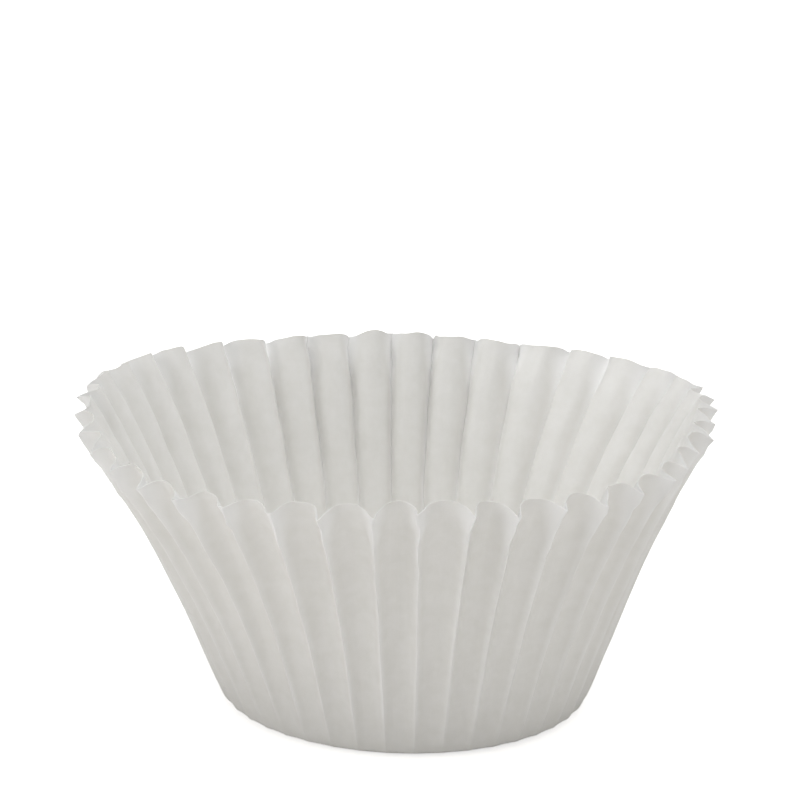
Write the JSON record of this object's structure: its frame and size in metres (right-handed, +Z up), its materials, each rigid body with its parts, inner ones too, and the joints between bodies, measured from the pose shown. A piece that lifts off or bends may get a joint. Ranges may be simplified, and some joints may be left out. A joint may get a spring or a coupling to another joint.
{
  "type": "cupcake liner",
  "caption": "Round paper baking cup with a flat base and a thin, flaring wall of fluted pleats, open at the top.",
  "frame": {"origin": "centre of the underside of the flat base", "axes": "+Z up along the cup's axis, towards the open mouth; +X through the middle of one pleat"},
  "size_m": [0.0868, 0.087, 0.0397],
  "materials": {
    "greaseproof_paper": "white greaseproof paper, smooth, with a soft sheen"
  },
  "bodies": {
    "root": {"liner": "greaseproof_paper"}
  },
  "joints": []
}
